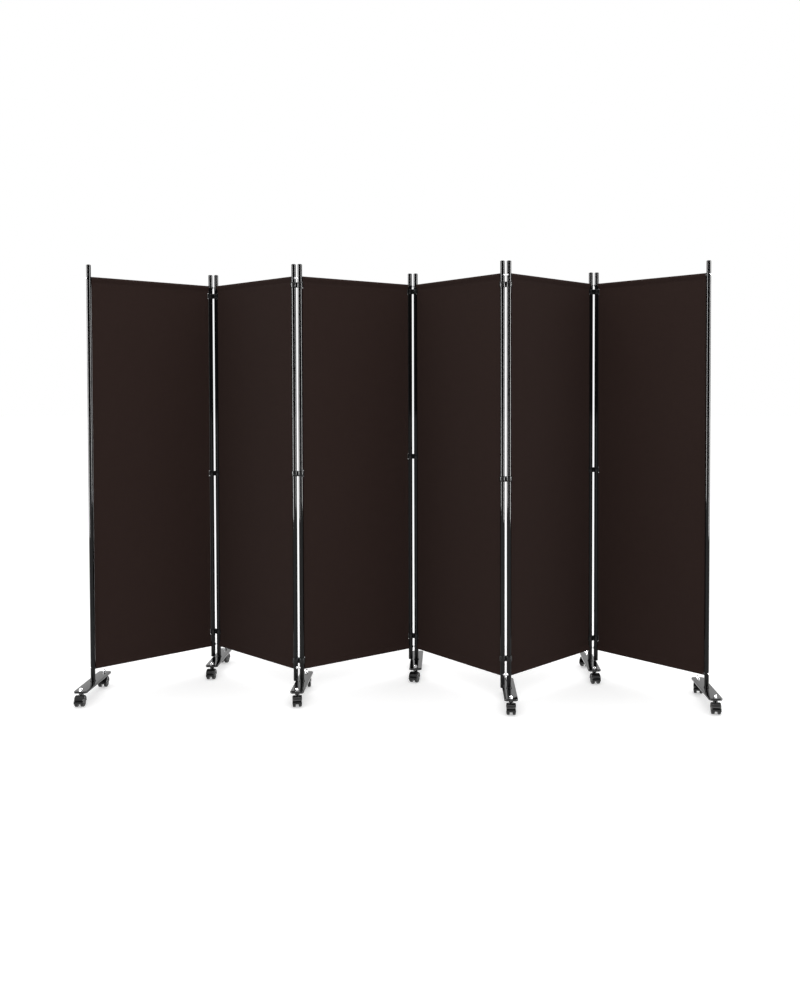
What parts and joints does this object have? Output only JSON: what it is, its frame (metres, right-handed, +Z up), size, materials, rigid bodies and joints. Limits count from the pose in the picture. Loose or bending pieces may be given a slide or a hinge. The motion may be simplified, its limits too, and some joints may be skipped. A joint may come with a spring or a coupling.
{
  "type": "rolling folding room divider",
  "caption": "Folding room divider: fabric panels on black tube frames, joined by ring clips in a zigzag, on turning feet with twin-wheel casters",
  "frame": {"origin": "on the floor under the middle of the outline, casters included, as the screen stands in the picture", "axes": "+Z up, +X along the row of panels from the left end to the right end, -Y towards the side that faces the camera"},
  "size_m": [2.641, 0.7472, 1.828],
  "materials": {
    "frame": "gloss black paint on steel tube",
    "fabric": "matte dark brown woven polyester",
    "fittings": "bright plated bolts and nuts",
    "clips": "black moulded plastic",
    "feet": "gloss black paint on pressed steel",
    "casters": "black moulded plastic, slightly glossy",
    "wheels": "hard black plastic tread"
  },
  "bodies": {
    "panel_1": {"frame_1": "frame", "fabric_1": "fabric", "fittings_1": "fittings"},
    "panel_2": {"frame_2": "frame", "fabric_2": "fabric", "fittings_2": "fittings"},
    "panel_3": {"frame_3": "frame", "fabric_3": "fabric", "fittings_3": "fittings"},
    "panel_4": {"frame_4": "frame", "fabric_4": "fabric", "fittings_4": "fittings"},
    "panel_5": {"frame_5": "frame", "fabric_5": "fabric", "fittings_5": "fittings"},
    "panel_6": {"frame_6": "frame", "fabric_6": "fabric", "fittings_6": "fittings"},
    "clips_1": {"clips_1": "clips"},
    "clips_2": {"clips_2": "clips"},
    "clips_3": {"clips_3": "clips"},
    "clips_4": {"clips_4": "clips"},
    "clips_5": {"clips_5": "clips"},
    "foot_1": {"foot_1": "feet"},
    "foot_2": {"foot_2": "feet"},
    "foot_3": {"foot_3": "feet"},
    "foot_4": {"foot_4": "feet"},
    "foot_5": {"foot_5": "feet"},
    "foot_6": {"foot_6": "feet"},
    "foot_7": {"foot_7": "feet"},
    "front_caster_1": {"front_caster_1": "casters"},
    "front_caster_2": {"front_caster_2": "casters"},
    "front_caster_3": {"front_caster_3": "casters"},
    "front_caster_4": {"front_caster_4": "casters"},
    "front_caster_5": {"front_caster_5": "casters"},
    "front_caster_6": {"front_caster_6": "casters"},
    "front_caster_7": {"front_caster_7": "casters"},
    "rear_caster_1": {"rear_caster_1": "casters"},
    "rear_caster_2": {"rear_caster_2": "casters"},
    "rear_caster_3": {"rear_caster_3": "casters"},
    "rear_caster_4": {"rear_caster_4": "casters"},
    "rear_caster_5": {"rear_caster_5": "casters"},
    "rear_caster_6": {"rear_caster_6": "casters"},
    "rear_caster_7": {"rear_caster_7": "casters"},
    "front_wheels_1": {"front_wheels_1": "wheels"},
    "front_wheels_2": {"front_wheels_2": "wheels"},
    "front_wheels_3": {"front_wheels_3": "wheels"},
    "front_wheels_4": {"front_wheels_4": "wheels"},
    "front_wheels_5": {"front_wheels_5": "wheels"},
    "front_wheels_6": {"front_wheels_6": "wheels"},
    "front_wheels_7": {"front_wheels_7": "wheels"},
    "rear_wheels_1": {"rear_wheels_1": "wheels"},
    "rear_wheels_2": {"rear_wheels_2": "wheels"},
    "rear_wheels_3": {"rear_wheels_3": "wheels"},
    "rear_wheels_4": {"rear_wheels_4": "wheels"},
    "rear_wheels_5": {"rear_wheels_5": "wheels"},
    "rear_wheels_6": {"rear_wheels_6": "wheels"},
    "rear_wheels_7": {"rear_wheels_7": "wheels"}
  },
  "joints": [
    {"name": "clips_2_turn", "type": "hinge", "parent": "panel_3", "child": "clips_2", "pos_m": [-0.40154, -0.11552, 0.916], "axis": [0, 0, 1], "range_deg": [-52.25, 126.75]},
    {"name": "panel_2_turn", "type": "hinge", "parent": "clips_2", "child": "panel_2", "pos_m": [-0.42801, -0.11425, 0.916], "axis": [0, 0, 1], "range_deg": [-52.25, 126.75]},
    {"name": "clips_1_turn", "type": "hinge", "parent": "panel_2", "child": "clips_1", "pos_m": [-0.84551, 0.23607, 0.916], "axis": [0, 0, -1], "range_deg": [-49.75, 129.25]},
    {"name": "panel_1_turn", "type": "hinge", "parent": "clips_1", "child": "panel_1", "pos_m": [-0.87201, 0.23619, 0.916], "axis": [0, 0, -1], "range_deg": [-49.75, 129.25]},
    {"name": "clips_3_turn", "type": "hinge", "parent": "panel_3", "child": "clips_3", "pos_m": [0.04761, 0.19317, 0.916], "axis": [0, 0, 1], "range_deg": [-48.75, 130.25]},
    {"name": "panel_4_turn", "type": "hinge", "parent": "clips_3", "child": "panel_4", "pos_m": [0.07395, 0.19029, 0.916], "axis": [0, 0, 1], "range_deg": [-48.75, 130.25]},
    {"name": "clips_4_turn", "type": "hinge", "parent": "panel_4", "child": "clips_4", "pos_m": [0.44564, -0.2083, 0.916], "axis": [0, 0, -1], "range_deg": [-42.95, 133.45]},
    {"name": "panel_5_turn", "type": "hinge", "parent": "clips_4", "child": "panel_5", "pos_m": [0.47213, -0.20911, 0.916], "axis": [0, 0, -1], "range_deg": [-42.95, 133.45]},
    {"name": "clips_5_turn", "type": "hinge", "parent": "panel_5", "child": "clips_5", "pos_m": [0.86745, 0.16604, 0.916], "axis": [0, 0, 1], "range_deg": [-44.95, 131.45]},
    {"name": "panel_6_turn", "type": "hinge", "parent": "clips_5", "child": "panel_6", "pos_m": [0.89395, 0.16616, 0.916], "axis": [0, 0, 1], "range_deg": [-44.95, 131.45]},
    {"name": "foot_1_turn", "type": "hinge", "parent": "panel_1", "child": "foot_1", "pos_m": [-1.29254, -0.11047, 0.061], "axis": [0, 0, 1], "range_deg": [-50.5, 129.5]},
    {"name": "foot_2_turn", "type": "hinge", "parent": "panel_2", "child": "foot_2", "pos_m": [-0.84551, 0.23607, 0.061], "axis": [0, 0, -1], "range_deg": [-49, 129]},
    {"name": "foot_3_turn", "type": "hinge", "parent": "panel_3", "child": "foot_3", "pos_m": [-0.40154, -0.11552, 0.061], "axis": [0, 0, 1], "range_deg": [-55.5, 124.5]},
    {"name": "foot_4_turn", "type": "hinge", "parent": "panel_4", "child": "foot_4", "pos_m": [0.07395, 0.19029, 0.061], "axis": [0, 0, -1], "range_deg": [-42, 136]},
    {"name": "foot_5_turn", "type": "hinge", "parent": "panel_5", "child": "foot_5", "pos_m": [0.47213, -0.20911, 0.061], "axis": [0, 0, 1], "range_deg": [-43.9, 130.9]},
    {"name": "foot_6_turn", "type": "hinge", "parent": "panel_5", "child": "foot_6", "pos_m": [0.86745, 0.16604, 0.061], "axis": [0, 0, 1], "range_deg": [-43.9, 130.9]},
    {"name": "foot_7_turn", "type": "hinge", "parent": "panel_6", "child": "foot_7", "pos_m": [1.29254, -0.20553, 0.061], "axis": [0, 0, -1], "range_deg": [-46, 132]},
    {"name": "front_caster_1_swivel", "type": "hinge", "parent": "foot_1", "child": "front_caster_1", "pos_m": [-1.29254, -0.23347, 0.049], "axis": [0, 0, 1], "continuous": true},
    {"name": "rear_caster_1_swivel", "type": "hinge", "parent": "foot_1", "child": "rear_caster_1", "pos_m": [-1.29254, 0.01253, 0.049], "axis": [0, 0, 1], "continuous": true},
    {"name": "front_caster_2_swivel", "type": "hinge", "parent": "foot_2", "child": "front_caster_2", "pos_m": [-0.84551, 0.11307, 0.049], "axis": [0, 0, 1], "continuous": true},
    {"name": "rear_caster_2_swivel", "type": "hinge", "parent": "foot_2", "child": "rear_caster_2", "pos_m": [-0.84551, 0.35907, 0.049], "axis": [0, 0, 1], "continuous": true},
    {"name": "front_caster_3_swivel", "type": "hinge", "parent": "foot_3", "child": "front_caster_3", "pos_m": [-0.40154, -0.23852, 0.049], "axis": [0, 0, 1], "continuous": true},
    {"name": "rear_caster_3_swivel", "type": "hinge", "parent": "foot_3", "child": "rear_caster_3", "pos_m": [-0.40154, 0.00748, 0.049], "axis": [0, 0, 1], "continuous": true},
    {"name": "front_caster_4_swivel", "type": "hinge", "parent": "foot_4", "child": "front_caster_4", "pos_m": [0.07395, 0.06729, 0.049], "axis": [0, 0, 1], "continuous": true},
    {"name": "rear_caster_4_swivel", "type": "hinge", "parent": "foot_4", "child": "rear_caster_4", "pos_m": [0.07395, 0.31329, 0.049], "axis": [0, 0, 1], "continuous": true},
    {"name": "front_caster_5_swivel", "type": "hinge", "parent": "foot_5", "child": "front_caster_5", "pos_m": [0.47213, -0.33211, 0.049], "axis": [0, 0, 1], "continuous": true},
    {"name": "rear_caster_5_swivel", "type": "hinge", "parent": "foot_5", "child": "rear_caster_5", "pos_m": [0.47213, -0.08611, 0.049], "axis": [0, 0, 1], "continuous": true},
    {"name": "front_caster_6_swivel", "type": "hinge", "parent": "foot_6", "child": "front_caster_6", "pos_m": [0.86745, 0.04304, 0.049], "axis": [0, 0, 1], "continuous": true},
    {"name": "rear_caster_6_swivel", "type": "hinge", "parent": "foot_6", "child": "rear_caster_6", "pos_m": [0.86745, 0.28904, 0.049], "axis": [0, 0, 1], "continuous": true},
    {"name": "front_caster_7_swivel", "type": "hinge", "parent": "foot_7", "child": "front_caster_7", "pos_m": [1.29254, -0.32853, 0.049], "axis": [0, 0, 1], "continuous": true},
    {"name": "rear_caster_7_swivel", "type": "hinge", "parent": "foot_7", "child": "rear_caster_7", "pos_m": [1.29254, -0.08253, 0.049], "axis": [0, 0, 1], "continuous": true},
    {"name": "front_wheels_1_roll", "type": "hinge", "parent": "front_caster_1", "child": "front_wheels_1", "pos_m": [-1.29097, -0.24839, 0.021], "axis": [0.9945, 0.1045, 0], "continuous": true},
    {"name": "rear_wheels_1_roll", "type": "hinge", "parent": "rear_caster_1", "child": "rear_wheels_1", "pos_m": [-1.29071, -0.00236, 0.021], "axis": [0.9925, 0.1219, 0], "continuous": true},
    {"name": "front_wheels_2_roll", "type": "hinge", "parent": "front_caster_2", "child": "front_wheels_2", "pos_m": [-0.84498, 0.09808, 0.021], "axis": [0.9994, 0.0349, 0], "continuous": true},
    {"name": "rear_wheels_2_roll", "type": "hinge", "parent": "rear_caster_2", "child": "rear_wheels_2", "pos_m": [-0.84759, 0.34422, 0.021], "axis": [0.9903, -0.1392, 0], "continuous": true},
    {"name": "front_wheels_3_roll", "type": "hinge", "parent": "front_caster_3", "child": "front_wheels_3", "pos_m": [-0.39894, -0.25329, 0.021], "axis": [0.9848, 0.1736, 0], "continuous": true},
    {"name": "rear_wheels_3_roll", "type": "hinge", "parent": "rear_caster_3", "child": "rear_wheels_3", "pos_m": [-0.39998, -0.00743, 0.021], "axis": [0.9945, 0.1045, 0], "continuous": true},
    {"name": "front_wheels_4_roll", "type": "hinge", "parent": "front_caster_4", "child": "front_wheels_4", "pos_m": [0.06956, 0.05294, 0.021], "axis": [0.9563, -0.2924, 0], "continuous": true},
    {"name": "rear_wheels_4_roll", "type": "hinge", "parent": "rear_caster_4", "child": "rear_wheels_4", "pos_m": [0.07186, 0.29844, 0.021], "axis": [0.9903, -0.1392, 0], "continuous": true},
    {"name": "front_wheels_5_roll", "type": "hinge", "parent": "front_caster_5", "child": "front_wheels_5", "pos_m": [0.47134, -0.34709, 0.021], "axis": [0.9986, -0.0523, 0], "continuous": true},
    {"name": "rear_wheels_5_roll", "type": "hinge", "parent": "rear_caster_5", "child": "rear_wheels_5", "pos_m": [0.47317, -0.10107, 0.021], "axis": [0.9976, 0.0698, 0], "continuous": true},
    {"name": "front_wheels_6_roll", "type": "hinge", "parent": "front_caster_6", "child": "front_wheels_6", "pos_m": [0.86902, 0.02813, 0.021], "axis": [0.9945, 0.1045, 0], "continuous": true},
    {"name": "rear_wheels_6_roll", "type": "hinge", "parent": "rear_caster_6", "child": "rear_wheels_6", "pos_m": [0.86041, 0.2758, 0.021], "axis": [0.8829, -0.4695, 0], "continuous": true},
    {"name": "front_wheels_7_roll", "type": "hinge", "parent": "front_caster_7", "child": "front_wheels_7", "pos_m": [1.29019, -0.34334, 0.021], "axis": [0.9877, -0.1564, 0], "continuous": true},
    {"name": "rear_wheels_7_roll", "type": "hinge", "parent": "rear_caster_7", "child": "rear_wheels_7", "pos_m": [1.28841, -0.09695, 0.021], "axis": [0.9613, -0.2756, 0], "continuous": true}
  ]
}
